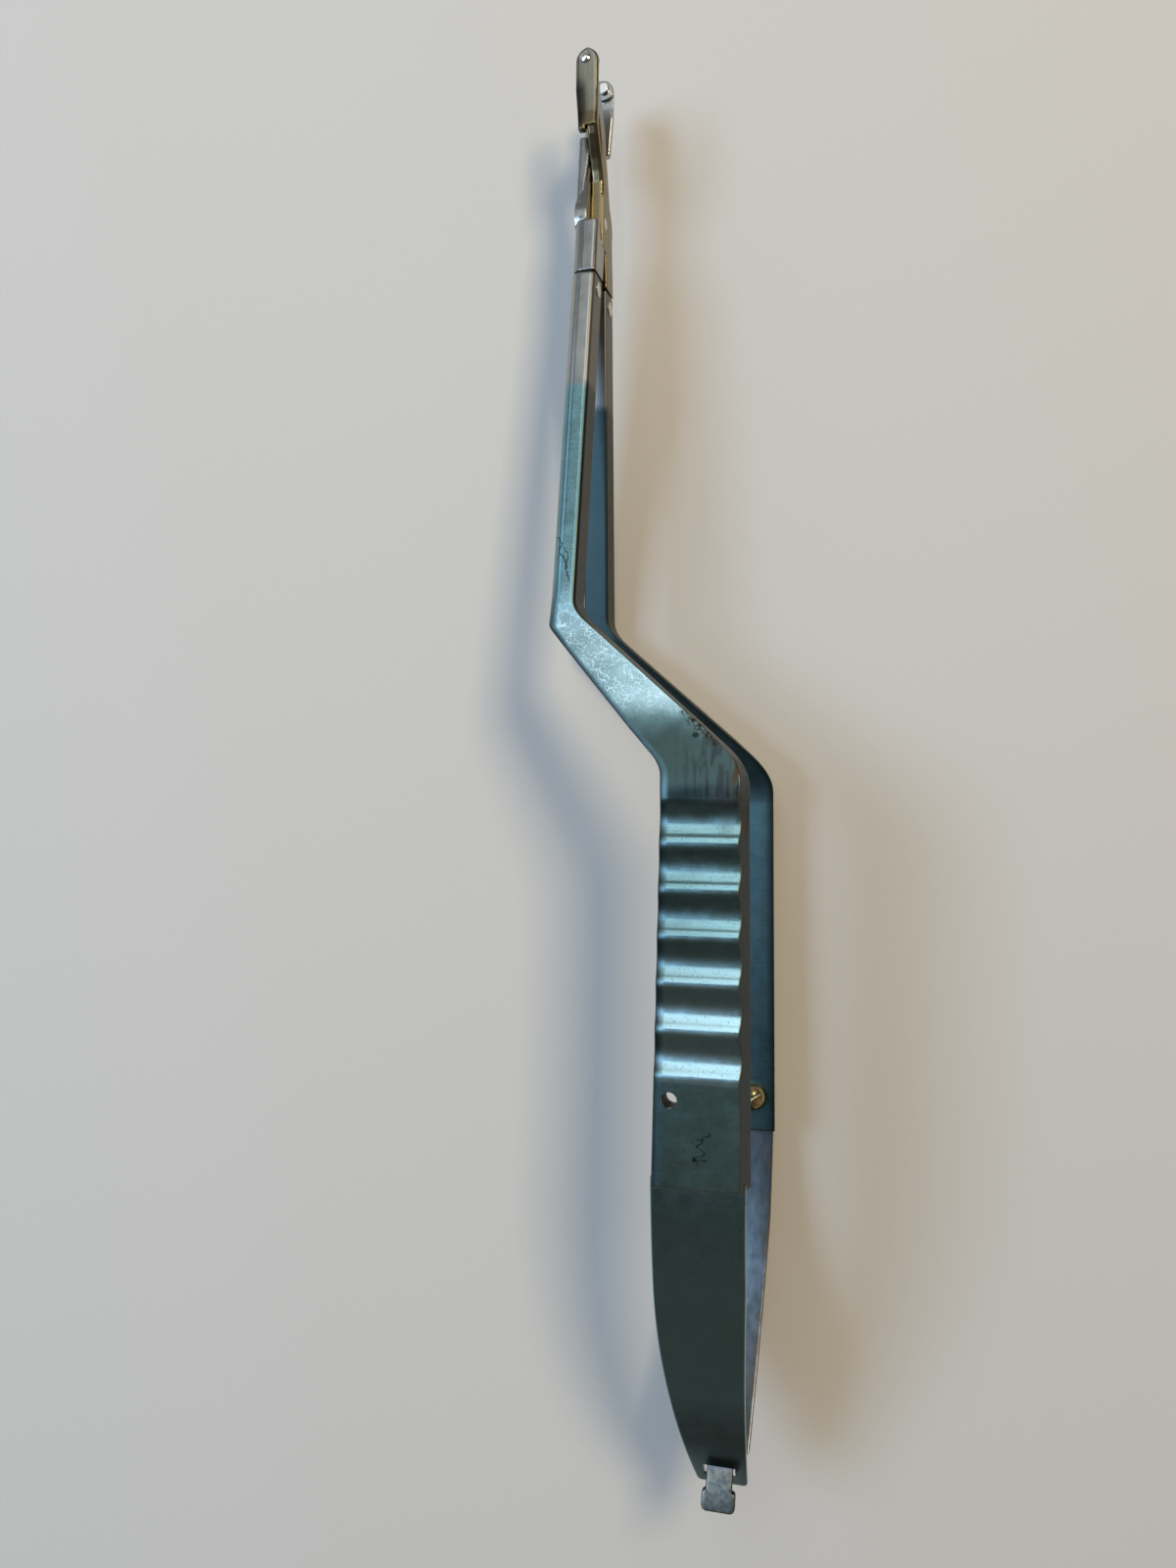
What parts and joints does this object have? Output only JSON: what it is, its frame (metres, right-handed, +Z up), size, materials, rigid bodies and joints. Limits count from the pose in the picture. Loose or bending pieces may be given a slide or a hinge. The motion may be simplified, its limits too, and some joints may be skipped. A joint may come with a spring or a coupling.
{
  "type": "aneurysm clip applier",
  "caption": "Bayonet clip applier: two crossing spring-opened arms on a lateral pivot, grooved finger plates, slim round-tipped jaws that hold a vascular clip.",
  "frame": {"origin": "on the table under the middle of the tool's bounding box, with the tool lying as it comes to rest, on the left edge of the lower plate and the outer corner of the lower arm's bend", "axes": "+Y along the plates towards the jaws, +X to the side that the handle is offset to, +Z up from the table; the tool leans 17.35 degrees towards -X"},
  "size_m": [0.0392, 0.2194, 0.0391],
  "materials": {
    "anodised": "satin teal-grey anodised titanium, scuffed",
    "bare": "satin bare titanium",
    "leaf": "satin anodised titanium sheet",
    "pin": "polished"
  },
  "bodies": {
    "lower_body": {"lower_arm": "anodised", "upper_jaw": "bare", "pivot_pin": "bare", "lower_arm_rivet": "bare", "upper_tip_pin": "pin", "lower_spring": "leaf", "stop_screw": "pin"},
    "upper_body": {"upper_arm": "anodised", "lower_jaw": "bare", "upper_arm_rivet": "bare", "lower_tip_pin": "pin", "upper_spring": "leaf"}
  },
  "joints": [
    {"name": "jaw_hinge", "type": "hinge", "parent": "lower_body", "child": "upper_body", "pos_m": [-0.01423, 0.08436, 0.01272], "axis": [0.9544, 0.013, 0.2982], "range_deg": [0, 11], "stiffness_Nm_per_rad": 3.5, "deforming": ["upper_spring", "lower_spring"]}
  ]
}
